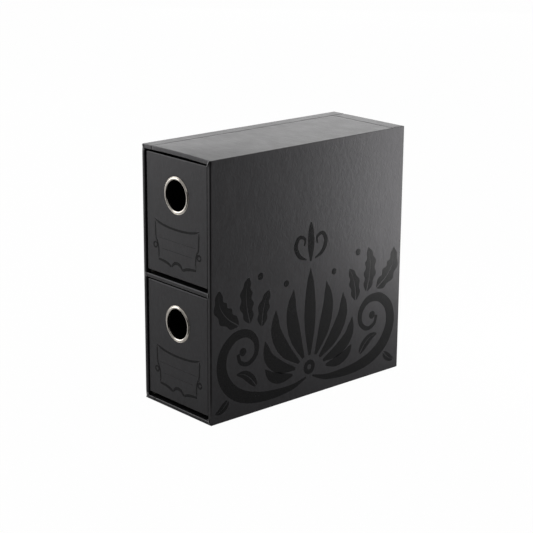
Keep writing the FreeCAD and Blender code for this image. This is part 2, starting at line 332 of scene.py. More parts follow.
def piece(
    name, body, finish, points, faces, stands_for=(), thickness=0.0, grain=None, fold=None, eased=0.0
):
    """A named piece of the looks, that rides on a body and stands for the frame's own solids."""
    used = sorted({i for face in faces for i in face})
    place = {old: new for new, old in enumerate(used)}
    mesh = bpy.data.meshes.new(name)
    mesh.from_pydata([points[i] for i in used], [], [[place[i] for i in face] for face in faces])
    mesh.shade_smooth()
    if grain:
        marks = mesh.attributes.new("grain", "FLOAT_VECTOR", "POINT")
        for new, old in enumerate(used):
            marks.data[new].vector = (grain[old][0] / MM, grain[old][1] / MM, 0.0)
    # The fold attribute marks where the paper is lightened: rubbing, and a painted highlight.
    if fold:
        folds = mesh.attributes.new("fold", "FLOAT", "POINT")
        for new, old in enumerate(used):
            folds.data[new].value = fold[old]
    made = bpy.data.objects.new(name, mesh)
    bpy.context.scene.collection.objects.link(made)
    mesh.materials.append(finish)
    if eased:
        edges = made.modifiers.new("eased", "BEVEL")
        edges.width = eased
        edges.segments = 4
    if thickness:
        solid = made.modifiers.new("paper", "SOLIDIFY")
        solid.thickness = thickness
        solid.offset = -1.0
    shading = made.modifiers.new("shading", "WEIGHTED_NORMAL")
    shading.keep_sharp = True
    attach(made, body)
    if stands_for:
        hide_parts(*stands_for)
    return made


def evenly(start, end, pitch):
    """Values from start to end, both among them, about pitch apart."""
    count = max(1, round(abs(end - start) / pitch))
    return [start + (end - start) * i / count for i in range(count + 1)]


def quarter(steps=5):
    """Angles of a quarter turn, from 0 to a right angle."""
    return [math.pi / 2 * i / steps for i in range(steps + 1)]


def wear_and_highlight(angle):
    """How much a fold is lightened round its bend, by rubbing and a painted highlight: most at the middle.
    """
    return 0.25 + 0.75 * math.sin(2 * angle)


def seam_sink(distance):
    """How far a sheet sinks at a distance from a seam."""
    reach = min(1.0, distance / SEAM_REACH)
    return SEAM_SINK * (1 - reach) ** 2 * (1 + 2 * reach)


class Station:
    """A place along a folded sheet: its point at each depth under the outer faces, and how it is bent."""

    def __init__(self, at, along, sink=0.0, flap=False, fold=0.0):
        self.at, self.along, self.sink, self.flap, self.fold = at, along, sink, flap, fold
        self.gather = self.lean = 0.0


def right_half(half_x, half_z, fold, marks_x, marks_z):
    """Stations round the right half of a board's outline, clockwise from marks_x[0] on top."""
    start = marks_x[0]

    def corner(angle, turn):
        def at(depth):
            bend = max(fold - depth, CREASE)
            across, up = half_x - depth - bend, half_z - depth - bend
            return across + bend * math.sin(angle), turn * (up + bend * math.cos(angle))

        return at

    def short_of(spot, half, depth):
        limit = half - depth - max(fold - depth, CREASE)
        squeezed = limit - 0.02 * (half - abs(spot))
        return spot if abs(spot) < limit - 0.1 * MM else math.copysign(squeezed, spot)

    def above(x, turn):
        return lambda depth: (short_of(x, half_x, depth), turn * (half_z - depth))

    def beside(z):
        return lambda depth: (half_x - depth, short_of(z, half_z, depth))

    arc = fold * math.pi / 2
    side = half_x - fold - start + arc
    below = side + 2 * (half_z - fold) + arc
    across = [*marks_x, half_x - fold - WEAR_AND_HIGHLIGHT_REACH]
    upright = [half_z - fold - WEAR_AND_HIGHLIGHT_REACH, *marks_z, fold + WEAR_AND_HIGHLIGHT_REACH - half_z]
    stations = [Station(above(x, 1), x - start, flap=True) for x in across]
    stations += [Station(corner(a, 1), side - arc + fold * a, fold=wear_and_highlight(a)) for a in quarter()]
    stations += [Station(beside(z), side + half_z - fold - z) for z in upright]
    stations += [
        Station(corner(a, -1), below - fold * a, fold=wear_and_highlight(a)) for a in reversed(quarter())
    ]
    stations += [Station(above(x, -1), below + half_x - fold - x, flap=True) for x in reversed(across)]
    return stations


def mirrored(stations):
    """The same stations on the left half, clockwise from underneath to the top."""
    whole = stations[-1].along
    return [
        Station(
            lambda depth, at=s.at: (-at(depth)[0], at(depth)[1]), 2 * whole - s.along, s.sink, s.flap, s.fold
        )
        for s in reversed(stations)
    ]


class Row:
    """A line of a folded sheet: its depth and y, the ways into the board and along, and how it is bent."""

    def __init__(self, depth, y, into, along, sink=0.0, fold=0.0, swell=(0.0, 0.0), front=False):
        self.depth, self.y, self.into, self.along, self.sink = depth, y, into, along, sink
        self.fold, self.swell, self.front = fold, swell, front


def front_rows(front, fold, along):
    """Rows round a front edge's fold."""
    return [
        Row(
            fold * (1 - math.cos(a)),
            front + fold * (1 - math.sin(a)),
            (math.cos(a), math.sin(a)),
            along + fold * a,
            fold=wear_and_highlight(a),
            swell=(1 - math.cos(a), 1 - math.sin(a)),
            front=True,
        )
        for a in quarter()
    ]


def folded(stations, rows, height):
    """Points, grain and folds of a sheet laid over stations and rows."""
    points, grain, folds = [], [], []
    for row in rows:
        for station in stations:
            sink = max(station.sink, row.sink if station.flap else 0.0)
            x, z = station.at(row.depth + sink * row.into[0] + station.gather * row.swell[0])
            y = row.y + sink * row.into[1] + station.gather * row.swell[1]
            if row.front:
                y += station.lean * (1 - row.depth / PANEL)
            points.append((x, y, height + z))
            grain.append((station.along, row.along))
            folds.append(max(row.fold, station.fold if row.depth < FOLD else 0.0))
    return points, grain, folds


# The case: three covering sheets, the strip over the shelf's edge, and the folds at the frame's corners.


SEAM_STEPS = [SEAM_GAP + SEAM_REACH * step for step in (0.0, 0.18, 0.4, 0.7, 1.0)]
# The side sheets end just under the back sheet.
REAR = BACK - 0.02 * MM


def bowed(x, y, z):
    """How far the top panel has bowed up near its front, as covered boards do when the paste dries."""
    across = max(0.0, 1 - (x / shelf_high.x) ** 2)
    near_top = min(1.0, max(0.0, (z - CROWN + 2 * PANEL) / PANEL))
    return BOW * across * near_top * math.exp(-(((y - FRONT) / BOW_REACH) ** 2))


def sagged(x, y, z):
    """How far the bay's floor has been worn down at its front edge."""
    on_floor = abs(x) < shelf_high.x + 0.5 * MM and 0.5 * PANEL < z < 2 * PANEL
    return SAG * math.exp(-(((y - FRONT) / SAG_REACH) ** 2)) if on_floor else 0.0


def case_rows(parted):
    """Rows from under the back sheet, forward over the outer faces, round the frame and into the bays."""
    rows = [Row(2.5 * MM, REAR, (0.0, -1.0), 0.0)]
    for a in quarter():
        rows.append(
            Row(
                FOLD * (1 - math.sin(a)),
                REAR - FOLD * (1 - math.cos(a)),
                (math.sin(a), -math.cos(a)),
                2 * MM + FOLD * a,
                fold=wear_and_highlight(a),
            )
        )
    marks = [BACK_SEAM + step for step in reversed(SEAM_STEPS)] + [BACK_SEAM - step for step in SEAM_STEPS]
    marks += evenly(BACK_SEAM - 3 * SEAM_REACH, FRONT + FOLD + WEAR_AND_HIGHLIGHT_REACH + CORNER_GATHER, 9 * MM)
    for y in marks:
        sink = seam_sink(abs(y - BACK_SEAM)) if parted else 0.0
        rows.append(Row(0.0, y, (1.0, 0.0), REAR + 2 * MM - y, sink))
    along = rows[-1].along + FOLD
    rows += front_rows(FRONT, FOLD, along)
    along += FOLD * math.pi / 2
    # The strip is flat from where its roundest fold ends.
    rows += [
        Row(PANEL * share, FRONT, (0.0, 1.0), along + PANEL * share, front=True)
        for share in (0.58, 0.66, 0.75)
    ]
    for a in quarter():
        rows.append(
            Row(
                PANEL - FOLD * (1 - math.sin(a)),
                FRONT + FOLD * (1 - math.cos(a)),
                (-math.sin(a), math.cos(a)),
                along + PANEL + FOLD * a,
                fold=0.7 * wear_and_highlight(a),
            )
        )
    for y in (FRONT + FOLD + WEAR_AND_HIGHLIGHT_REACH, TURN_IN):
        rows.append(Row(PANEL, y, (-1.0, 0.0), along + PANEL + y - FRONT))
    return rows


def case_sheet(name, node, hand):
    """A covering sheet from its seam on top, over one side, to its seam underneath."""
    start = hand * SIDE_SEAM
    marks_x = [start + step for step in SEAM_STEPS] + evenly(
        start + 2 * SEAM_REACH, HALF_WIDTH - 2 * PANEL, 8 * MM
    )
    # Columns lie close near the corners, where the paper is gathered.
    gathers = [PANEL * share for share in (0.5, 0.75, 1.0, 1.3, 1.7, 2.2)]
    marks_z = [HALF_HEIGHT - step for step in gathers]
    marks_z += evenly(HALF_HEIGHT - 3 * PANEL, 3 * PANEL - HALF_HEIGHT, 12 * MM)
    marks_z += [step - HALF_HEIGHT for step in reversed(gathers)]
    stations = right_half(HALF_WIDTH, HALF_HEIGHT, EDGE_FOLD, marks_x, marks_z)
    for station in stations:
        x, z = station.at(0)
        if station.flap:
            station.sink = seam_sink(x - start)
        from_corner = HALF_HEIGHT - abs(z) - FOLD
        above = min(1.0, max(0.0, -from_corner / FOLD))
        gathered = SIDE_GATHER + CORNER_GATHER * math.exp(-((from_corner / PANEL) ** 2))
        station.gather = above * FLAP_GATHER + (1 - above) * gathered
        station.lean = above * LEAN if z > 0 else 0.0
    rows = case_rows(parted=hand > 0)
    points, grain, folds = folded(stations, rows, MIDDLE)
    points = [(hand * x, y, z + bowed(x, y, z) - sagged(x, y, z)) for x, y, z in points]

    def keep(r, c):
        under_back_flap = rows[r + 1].y > BACK_SEAM or r == 0 or rows[r].depth > 0 and rows[r].y > 0
        on_flap = stations[c].flap or stations[c + 1].flap
        return not (hand > 0 and under_back_flap and on_flap)

    faces = turned_from(points, grid(len(rows), len(stations), keep), Vector((0, 0, MIDDLE)))
    return piece(
        name, "case", COVERING, points, faces, [node], SHEET, grain, folds
    )


def back_sheet():
    """The sheet over the back, with a flap on top and one underneath as far as the side sheet's seam."""
    path = []
    for turn in (1, -1):
        marks = [BACK_SEAM + step for step in SEAM_STEPS] + evenly(
            BACK_SEAM + 2 * SEAM_REACH, BACK - FOLD - WEAR_AND_HIGHLIGHT_REACH, 4 * MM
        )
        half = [
            (y, HALF_HEIGHT, (0.0, -1.0), seam_sink(y - BACK_SEAM), 0.0, True) for y in marks
        ]
        for a in quarter():
            y = BACK - FOLD * (1 - math.sin(a))
            z = HALF_HEIGHT - FOLD * (1 - math.cos(a))
            # The fold's last angle, a right angle, already lies on the back.
            half.append((y, z, (-math.sin(a), -math.cos(a)), 0.0, wear_and_highlight(a), a < 1.5))
        half += [
            (BACK, z, (-1.0, 0.0), 0.0, 0.0, False)
            for z in evenly(HALF_HEIGHT - FOLD - WEAR_AND_HIGHLIGHT_REACH, 10 * MM, 12 * MM)
        ]
        half = [(y, turn * z, (iy, turn * iz), *rest) for y, z, (iy, iz), *rest in half]
        path += half if turn > 0 else list(reversed(half))
    right = HALF_WIDTH - FOLD - 0.05 * MM
    first_flap = SIDE_SEAM + SEAM_GAP
    columns = evenly(-right, SIDE_SEAM - SEAM_REACH, 6 * MM)
    columns += [SIDE_SEAM + step for step in SEAM_STEPS]
    columns += evenly(SIDE_SEAM + 2 * SEAM_REACH, right, 8 * MM)
    points, grain, folds = [], [], []
    along = 0.0
    last = path[0][:2]
    for y, z, into, sink, fold, flap in path:
        along += math.dist(last, (y, z))
        last = (y, z)
        for x in columns:
            depth = max(sink, seam_sink(x - SIDE_SEAM) if flap and x >= first_flap else 0.0)
            points.append((x, y + depth * into[0], MIDDLE + z + depth * into[1]))
            grain.append((along, x + right))
            folds.append(fold)

    def keep(r, c):
        return columns[c] >= first_flap - 0.001 * MM or not (path[r][5] or path[r + 1][5])

    faces = turned_from(points, grid(len(path), len(columns), keep), Vector((0, 0, MIDDLE)))
    return piece(
        "case_back_sheet", "case", COVERING, points, faces,
        ["case_back_cover"], SHEET, grain, folds,
    )


def shelf_edge_strip():
    """The strip folded over the shelf's front edge and turned back into both bays."""
    thick = (shelf_high.z - shelf_low.z) / 2
    level = (shelf_high.z + shelf_low.z) / 2
    half = [(TURN_IN, thick, 0.0), (FRONT + FOLD + WEAR_AND_HIGHLIGHT_REACH, thick, 0.0)]
    for a in quarter():
        half.append((FRONT + FOLD * (1 - math.sin(a)), thick - FOLD * (1 - math.cos(a)), wear_and_highlight(a)))
    half.append((FRONT, thick - FOLD - WEAR_AND_HIGHLIGHT_REACH, 0.0))
    path = half + [(y, -z, fold) for y, z, fold in reversed(half)]
    columns = evenly(shelf_low.x - 0.1 * MM, shelf_high.x + 0.1 * MM, 8 * MM)
    points, grain, folds = [], [], []
    along = 0.0
    last = path[0][:2]
    for y, z, fold in path:
        along += math.dist(last, (y, z))
        last = (y, z)
        for x in columns:
            points.append((x, y, level + z))
            grain.append((x + HALF_WIDTH, along))
            folds.append(fold)
    faces = turned_from(points, grid(len(path), len(columns)), Vector((0, 0, level)))
    return piece(
        "case_shelf_edge_strip", "case", COVERING, points, faces,
        ["case_divider_edge_cover"], SHEET, grain, folds,
    )


def corner_folds():
    """Paper gathered where the frame's strips meet: a ridge along each mitre and at the shelf's ends, its
    top painted light grey as a highlight.
    """
    width, rise = 1.3 * MM, 0.46 * MM
    inner_x = shelf_high.x
    runs = []
    for hand in (1, -1):
        for turn in (1, -1):
            inner = Vector((hand * (inner_x + 0.2 * MM), MIDDLE + turn * (HALF_HEIGHT - PANEL - 1.5 * MM)))
            tip = Vector((hand * (HALF_WIDTH - 1.3 * MM), MIDDLE + turn * (HALF_HEIGHT - 0.3 * MM)))
            runs.append((inner, tip))
        end = hand * (inner_x + 0.4 * MM)
        runs.append((Vector((end, shelf_low.z - 0.2 * MM)), Vector((end, shelf_high.z + 0.2 * MM))))
    # Across the ridge, in shares of its width and rise: a long slope on one side, a steep one on the other.
    section = [
        (-0.7, -0.3), (-0.7, 0.0), (-0.35, 0.42), (0.0, 0.88), (0.1, 1.0), (0.22, 0.94), (0.36, 0.5),
        (0.44, 0.0), (0.44, -0.3),
    ]
    points, grain, folds, faces = [], [], [], []
    for start, end in runs:
        first = len(points)
        way = end - start
        across = Vector((way.y, -way.x)).normalized()
        if across.x * start.x < 0:
            across = -across
        shares = [0.0, 0.06, 0.18, 0.4, 0.6, 0.82, 0.94, 1.0]
        for share in shares:
            swell = 0.4 + 0.6 * math.sqrt(max(0.0, 1 - (2 * share - 1) ** 6))
            for offset, height in section:
                spot = start + way * share + across * (offset * width * swell)
                lift = rise * swell * height if height > 0 else 0.4 * rise * height
                points.append((spot.x, FRONT - lift, spot.y))
                grain.append((spot.y, spot.x))
                # The top of each ridge is painted light grey: a painted highlight.
                folds.append(1.3 if height > 0.3 and offset < 0.15 else 0.0)
        count = len(section)
        net = [tuple(first + i for i in face) for face in grid(len(shares), count, closed=True)]
        ends = [tuple(range(first, first + count)), tuple(range(len(points) - count, len(points)))]
        middle = Vector(((start.x + end.x) / 2, FRONT, (start.y + end.y) / 2))
        faces += turned_from(points, net, middle)
        for end_face in ends:
            faces += turned_from(points, [end_face], middle)
    return piece(
        "case_corner_folds", "case", HIGHLIGHTED_CREASE_PAPER, points, faces, (), 0.0, grain, folds
    )


def eased_board(node):
    """A panel of greyboard with its cut edges rubbed round, so that the paper folds over them unbruised."""
    low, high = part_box(node)
    low.y += PROUD
    if node == "case_top_board":
        low.z += BOW
    if node == "case_bottom_board":
        high.z -= SAG + SHEET
    points = [(x, y, z) for x in (low.x, high.x) for y in (low.y, high.y) for z in (low.z, high.z)]
    faces = [(0, 1, 3, 2), (4, 6, 7, 5), (0, 4, 5, 1), (2, 3, 7, 6), (0, 2, 6, 4), (1, 5, 7, 3)]
    faces = turned_from(points, faces, (low + high) / 2)
    return piece(f"{node}_eased", "case", BOARD, points, faces, [node], eased=EASED)


# The drawers


def smooth_line(corners, steps=8):
    """A smooth line through flat points."""
    spots = [Vector(c) for c in corners]
    padded = [2 * spots[0] - spots[1], *spots, 2 * spots[-1] - spots[-2]]
    line = []
    for i in range(1, len(padded) - 2):
        a, b, c, d = padded[i - 1 : i + 3]
        for step in range(steps):
            t = step / steps
            line.append(
                0.5 * (2 * b + (c - a) * t + (2 * a - 5 * b + 4 * c - d) * t * t
                       + (3 * b - a - 3 * c + d) * t ** 3)
            )
    return line + [spots[-1]]


def eased_front(drawer):
    """A drawer's front board, with its front edges rubbed round and a hole cut for the ring."""
    low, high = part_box(f"{drawer}_front_board")
    low.z += TRIMMED
    ring_low, ring_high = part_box(f"{drawer}_finger_ring")
    ring_z = (ring_low.z + ring_high.z) / 2
    lap = 2.4 * MM
    hole = (ring_high.x - ring_low.x) / 2 - lap
    half_z, middle = (high.z - low.z) / 2, (high.z + low.z) / 2
    marks_x = evenly(0.0, high.x - 2 * MM, 5 * MM)
    marks_z = evenly(half_z - 2 * MM, 2 * MM - half_z, 5 * MM)
    right = right_half(high.x, half_z, FRONT_FOLD, marks_x, marks_z)
    stations = right + mirrored(right)[1:-1]
    points = []
    for y, depth in ((low.y, None), (low.y, FRONT_FOLD), (low.y + 0.3 * FRONT_FOLD, 0.3 * FRONT_FOLD),
                     (low.y + FRONT_FOLD, 0.0), (high.y, 0.0), (high.y, None)):
        for station in stations:
            x, z = station.at(depth or 0.0)
            spot = Vector((x, middle + z - ring_z))
            if depth is None:
                spot = spot.normalized() * hole
            points.append((spot.x, y, ring_z + spot.y))
    count = len(stations)
    faces = grid(6, count, closed=True) + closing(6, count)
    faces = [tuple(reversed(face)) for face in faces] if faces_inward(points, faces) else faces
    return piece(
        f"{drawer}_front_board_eased", drawer, BOARD, points, faces, [f"{drawer}_front_board"]
    )


def drawer_front_sheet(drawer):
    """The sheet on a drawer's front: folded round its four edges, and pressed in under the ring."""
    low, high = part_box(f"{drawer}_front_cover")
    low.z += TRIMMED
    ring_low, ring_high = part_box(f"{drawer}_finger_ring")
    ring_z, ring_radius = (ring_low.z + ring_high.z) / 2, (ring_high.x - ring_low.x) / 2
    half_z, middle = (high.z - low.z) / 2, (high.z + low.z) / 2
    marks_x = evenly(0.0, high.x - 2 * MM, 3 * MM)
    marks_z = evenly(half_z - 2 * MM, 2 * MM - half_z, 3 * MM)
    right = right_half(high.x, half_z, FRONT_FOLD, marks_x, marks_z)
    stations = right + mirrored(right)[1:-1]
    points, grain, folds = [], [], []

    def put(x, y, z, fold=0.0):
        points.append((x, y, z))
        grain.append((z, x + HALF_WIDTH))
        folds.append(fold)

    rings = ((0.9, 0.14), (0.96, 0.12), (1.0, 0.05), (1.04, 0.01), (1.1, 0.0))
    for share, sink in rings:
        for station in stations:
            x, z = station.at(FRONT_FOLD)
            toward = Vector((x, middle + z - ring_z)).normalized() * ring_radius * share
            put(toward.x, low.y + sink * MM, ring_z + toward.y)
    for station in stations:
        x, z = station.at(FRONT_FOLD + WEAR_AND_HIGHLIGHT_REACH)
        put(x, low.y, middle + z)
    for a in reversed(quarter()):
        for station in stations:
            x, z = station.at(FRONT_FOLD * (1 - math.cos(a)))
            put(x, low.y + FRONT_FOLD * (1 - math.sin(a)), middle + z, wear_and_highlight(a))
    for y in (low.y + FRONT_FOLD + WEAR_AND_HIGHLIGHT_REACH, high.y):
        for station in stations:
            x, z = station.at(0.0)
            put(x, y, middle + z)
    rows = len(rings) + len(quarter()) + 3
    faces = turned_from(points, grid(rows, len(stations), closed=True), Vector((0, high.y, middle)))
    return piece(
        f"{drawer}_front_sheet", drawer, COVERING, points, faces,
        [f"{drawer}_front_cover"], SHEET, grain, folds,
    )


def drawer_wall_wrap(drawer):
    """The paper round a drawer's two sides and back, closed over their upper and lower edges."""
    low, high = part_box(f"{drawer}_wrap")
    board_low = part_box(f"{drawer}_left_board")[0].z
    thick = high.x - (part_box(f"{drawer}_lining")[1].x - SHEET)
    bend_out = 0.35 * MM
    section = [(thick - 0.1 * MM, board_low - 0.02 * MM), (thick - 0.3 * MM, low.z)]
    section += [
        (bend_out * (1 - math.sin(a)), low.z + bend_out * (1 - math.cos(a))) for a in quarter()
    ]
    section += [(0.0, z) for z in evenly(low.z + 2 * MM, high.z - 2 * MM, 12 * MM)]
    section += [
        (bend_out * (1 - math.cos(a)), high.z - bend_out * (1 - math.sin(a))) for a in quarter()
    ]
    section += [
        (thick - CREASE * (1 - math.sin(a)), high.z - CREASE * (1 - math.cos(a))) for a in quarter(3)
    ]
    section.append((thick, high.z - 0.4 * MM))

    def bend(angle, hand):
        def at(depth):
            turn = max(bend_out - depth, CREASE)
            across, back = high.x - depth - turn, high.y - depth - turn
            return hand * (across + turn * math.cos(angle)), back + turn * math.sin(angle)

        return at

    # The paper also turns round the front ends of the walls.
    cap, cap_end = low.y - SHEET, high.x - thick - 0.1 * MM
    run = evenly(low.y + 0.3 * MM, high.y - 3 * MM, 12 * MM)
    stations = [(lambda depth: (-cap_end, cap + depth))]
    stations += [(lambda depth: (-high.x + depth + 0.1 * MM, cap + depth))]
    stations += [(lambda depth: (-high.x + depth, cap + depth + 0.1 * MM))]
    stations += [(lambda depth, y=y: (-high.x + depth, y + depth)) for y in run]
    stations += [bend(a, -1) for a in quarter()]
    stations += [
        (lambda depth, x=x: (x, high.y - depth)) for x in evenly(4 * MM - high.x, high.x - 4 * MM, 12 * MM)
    ]
    stations += [bend(a, 1) for a in reversed(quarter())]
    stations += [(lambda depth, y=y: (high.x - depth, y + depth)) for y in reversed(run)]
    stations += [(lambda depth: (high.x - depth, cap + depth + 0.1 * MM))]
    stations += [(lambda depth: (high.x - depth - 0.1 * MM, cap + depth))]
    stations += [(lambda depth: (cap_end, cap + depth))]
    points = [(*station(depth), z) for depth, z in section for station in stations]
    middle = Vector((0, (low.y + high.y) / 2, (low.z + high.z) / 2))
    faces = turned_from(points, grid(len(section), len(stations)), middle)
    return piece(
        f"{drawer}_wall_wrap", drawer, WRAP_PAPER, points, faces,
        [f"{drawer}_wrap"], SHEET,
    )


def ring_pull(drawer):
    """The pressed finger ring: a rolled crown, a thin lip round it, a barrel, and its edge rolled over."""
    low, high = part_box(f"{drawer}_finger_ring")
    centre = (low.z + high.z) / 2
    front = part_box(f"{drawer}_front_cover")[0].y
    bore = (high.x - low.x) / 2 - 2 * (front - low.y)
    outer = (high.x - low.x) / 2 - 0.35 * MM
    metal = 0.4 * MM
    lip = high.y - front
    # Radius, and how far behind the drawer's front; the crown is lower and slimmer than the solid's.
    section = [
        (outer - 0.45 * MM, 0.04 * MM),
        (outer - 0.2 * MM, -0.1 * MM),
        (outer - 0.28 * MM, -0.26 * MM),
        (outer - 0.48 * MM, -0.28 * MM),
        (outer - 0.66 * MM, -0.1 * MM),
        (outer - 0.8 * MM, -0.32 * MM),
        (outer - 1.15 * MM, -0.7 * MM),
        (outer - 1.7 * MM, -0.9 * MM),
        (outer - 2.25 * MM, -0.74 * MM),
        (outer - 2.7 * MM, -0.35 * MM),
        (bore, 0.15 * MM),
        (bore, 0.45 * lip),
        (bore, lip - 0.55 * MM),
        (bore + 0.2 * MM, lip - 0.1 * MM),
        (bore + 0.8 * MM, lip),
        (bore + 1.6 * MM, lip - 0.05 * MM),
        (bore + 2.15 * MM, lip - 0.3 * MM),
    ]
    outside = smooth_line(section, 5)
    inside = [
        (bore + 2.1 * MM, lip - metal),
        (bore + metal, lip - metal),
        (bore + metal, 0.02 * MM),
        (outer - 0.3 * MM, 0.02 * MM),
    ]
    profile = [tuple(p) for p in outside] + inside
    around = 96
    points = []
    for radius, behind in profile:
        for i in range(around):
            a = 2 * math.pi * i / around
            points.append((radius * math.cos(a), front + behind, centre + radius * math.sin(a)))
    count = len(profile)
    faces = grid(count, around, closed=True) + closing(count, around)
    faces = turned_from(points, faces, Vector((0, front, centre)))
    return piece(
        f"{drawer}_ring_pull", drawer, NICKEL, points, faces, [f"{drawer}_finger_ring"]
    )


# Printing


def band(line, widths):
    """The two edges of a band along a line; its widths are spread evenly over its length."""
    lengths = [0.0]
    for a, b in zip(line, line[1:]):
        lengths.append(lengths[-1] + (b - a).length)
    edges = []
    for i, spot in enumerate(line):
        way = (line[min(i + 1, len(line) - 1)] - line[max(i - 1, 0)]).normalized()
        share = lengths[i] / lengths[-1] * (len(widths) - 1)
        step = min(int(share), len(widths) - 2)
        width = widths[step] + (widths[step + 1] - widths[step]) * (share - step)
        side = Vector((-way.y, way.x)) * max(width, 0.06) / 2
        edges.append((spot + side, spot - side))
    return edges


def bands_mesh(shapes, place, direction):
    """Points, faces and grain of flat bands, each a list of edge pairs in millimetres."""
    points, faces, grain = [], [], []
    for shape in shapes:
        first = len(points)
        for pair in shape:
            for spot in pair:
                points.append(place(spot.x * MM, spot.y * MM))
                grain.append((spot.y * MM + HALF_HEIGHT, spot.x * MM + HALF_WIDTH))
        faces += [
            (first + i, first + i + 1, first + i + 3, first + i + 2)
            for i in range(0, 2 * len(shape) - 2, 2)
        ]
    return points, facing(points, faces, direction), grain


def stroke(line, width, steps=8):
    """A printed line of one width, tapered at its two ends."""
    return band(smooth_line(line, steps), [0.35 * width] + [width] * 10 + [0.35 * width])


def label_frame(drawer):
    """The scrolled frame printed for a label, with two lines to write on."""
    low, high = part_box(f"{drawer}_front_cover")
    shapes = [
        stroke(
            [(-26.5, -51.2), (-22.5, -52.8), (-16, -54.2), (-8, -55.0), (0, -55.2), (8, -55.0), (16, -54.2),
             (22.5, -52.8), (26.5, -51.2)],
            1.8,
        ),
        stroke([(-22.0, -64.9), (22.0, -64.9)], 0.6, 1),
        stroke([(-18.0, -73.0), (18.0, -73.0)], 0.6, 1),
        band(
            smooth_line([(-6.4, -85.4), (-4.7, -83.0), (-2.4, -81.6), (0, -81.2), (2.4, -81.6), (4.7, -83.0),
                         (6.4, -85.4)]),
            [1.1, 2.0, 2.5, 2.6, 2.5, 2.0, 1.1],
        ),
    ]
    for hand in (1, -1):
        post = [
            (26.2, -52.4), (25.9, -58), (25.7, -63), (25.1, -66.4), (23.7, -68.8), (22.5, -72), (22.1, -76),
            (22.1, -79), (22.4, -81.0),
        ]
        hem = [(22.6, -82.0), (17, -82.4), (12.5, -83.1), (9.6, -84.0), (7.0, -85.2)]
        shapes += [
            stroke([(hand * x, z) for x, z in post], 1.5),
            band(smooth_line([(hand * x, z) for x, z in hem]), [1.6, 2.0, 2.3, 2.3, 1.9]),
        ]
        shapes += disc((hand * 26.1, -71.5), 2.8, 1.3)
    points, faces, grain = bands_mesh(
        shapes, lambda x, z: (x, low.y - INK, high.z + z), Vector((0, -1, 0))
    )
    return piece(
        f"{drawer}_label_frame_print", drawer, FOIL, points, faces, (), INK, grain
    )


def petal(base, tip, bow, width):
    """A solid leaf that curves from base to tip."""
    base, tip = Vector(base), Vector(tip)
    way = tip - base
    side = Vector((-way.y, way.x)).normalized() * bow
    rib = smooth_line([base, base + way * 0.35 + side * 0.9, base + way * 0.7 + side, tip], 8)
    return [band(rib, [width * share for share in (0.2, 0.55, 0.85, 1.0, 0.97, 0.82, 0.55, 0.0)])]


def leaf(base, tip, bow, width, lobes=3, gap=0.9):
    """Two lobed half leaves on either side of a bare rib that curves from base to tip."""
    base, tip = Vector(base), Vector(tip)
    way = tip - base
    side = Vector((-way.y, way.x)).normalized()
    rib = smooth_line(
        [base, base + way * 0.35 + side * bow * 0.9, base + way * 0.7 + side * bow, tip], 12
    )
    halves = []
    count = len(rib) - 1
    for hand in (1, -1):
        edges = []
        for i, spot in enumerate(rib):
            t = i / count
            ahead = (rib[min(i + 1, count)] - rib[max(i - 1, 0)]).normalized()
            normal = Vector((-ahead.y, ahead.x)) * hand
            scallop = 0.86 - 0.14 * math.cos(2 * math.pi * lobes * t)
            swell = math.sin(math.pi * t ** 0.8) ** 0.7 * scallop
            split = gap / 2 * (1 - t) + 0.03
            edges.append((spot + normal * split, spot + normal * (split + width / 2 * swell + 0.02)))
        halves.append(edges)
    return halves


def disc(centre, outer, hole=0.0):
    """A round dot or a ring, as a closed band."""
    edges = []
    around = 32
    for i in range(around + 1):
        a = 2 * math.pi * i / around
        way = Vector((math.cos(a), math.sin(a)))
        edges.append((Vector(centre) + way * outer, Vector(centre) + way * hole))
    return [edges]


def side_scroll():
    """A palmette between two mirrored scrolls, printed low on the side, in millimetres across and up."""
    scroll = [
        (3.5, 16), (18, 11.5), (36, 10.5), (54, 12), (71, 17), (84, 27), (90.5, 41), (88.5, 56), (78, 66),
        (65, 66.5), (56.5, 58.5), (56.5, 48), (64, 42), (72, 44.5), (74.5, 51.5),
    ]
    curl = [(4.5, 113), (12, 117), (16, 125), (12.5, 132), (6.5, 130), (7, 124.5)]
    right = [
        band(smooth_line(scroll), [1.5, 4.5, 6.5, 8.0, 9.5, 10.5, 10.5, 9.5, 8.5, 7.5, 6.0, 4.5, 3.6, 3.0])
    ]
    right += disc((69.5, 52.5), 3.3, 0.05)
    right += petal((6.5, 33), (17.5, 92), -5.5, 12.5)
    right += petal((11, 30), (36, 79), -8.0, 12.0)
    right += petal((15, 26), (47, 56), -8.0, 11.0)
    right += petal((18, 21.5), (47, 33), -4.5, 9.0)
    right += leaf((74, 74.5), (93, 106), -6, 15, 4)
    right += leaf((62.5, 74), (63.5, 111), -3, 13.5, 4)
    right += leaf((50.5, 69), (42.5, 97), -2, 11.5, 3)
    right += leaf((56, 22), (76, 35.5), 3, 10, 0)
    right += leaf((84, 17), (97, 8.5), -1.5, 8, 0)
    right += disc((25.5, 98), 2.6, 0.05)
    right += disc((52, 109), 2.8, 0.05)
    right.append(band(smooth_line(curl), [1.0, 3.2, 4.2, 3.6, 2.6, 1.6]))
    shapes = list(right)
    shapes += [[(Vector((-a.x, a.y)), Vector((-b.x, b.y))) for a, b in shape] for shape in right]
    shapes += petal((0, 34), (0, 106), 0, 12)
    shapes += disc((0, 24), 6.0, 2.2)
    shapes += petal((0, 111), (0, 144), 0, 7)
    points, faces, grain = bands_mesh(
        shapes, lambda across, up: (wrap_high.x, across, up), Vector((1, 0, 0))
    )
    return piece(
        "case_side_scroll_print", "case", FOIL, points, faces, (), INK, grain
    )


